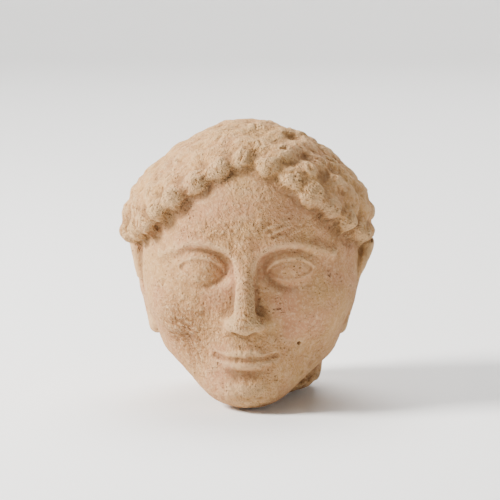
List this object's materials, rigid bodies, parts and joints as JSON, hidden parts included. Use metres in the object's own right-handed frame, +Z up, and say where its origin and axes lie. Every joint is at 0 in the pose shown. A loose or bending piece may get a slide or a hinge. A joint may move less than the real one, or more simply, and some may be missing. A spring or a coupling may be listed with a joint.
{
  "type": "carved limestone votive head",
  "caption": "Head of a votive temple boy, carved in limestone with a cap of rounded curls, broken off at the neck and standing on the break.",
  "frame": {"origin": "under the middle of the head, on the surface that it stands on", "axes": "+Z up, the face looks along -Y, +X is the head's own left side"},
  "size_m": [0.1061, 0.1043, 0.1157],
  "materials": {
    "limestone": "worn and pitted, dull"
  },
  "bodies": {
    "root": {"temple_boy_head": "limestone"}
  },
  "joints": []
}
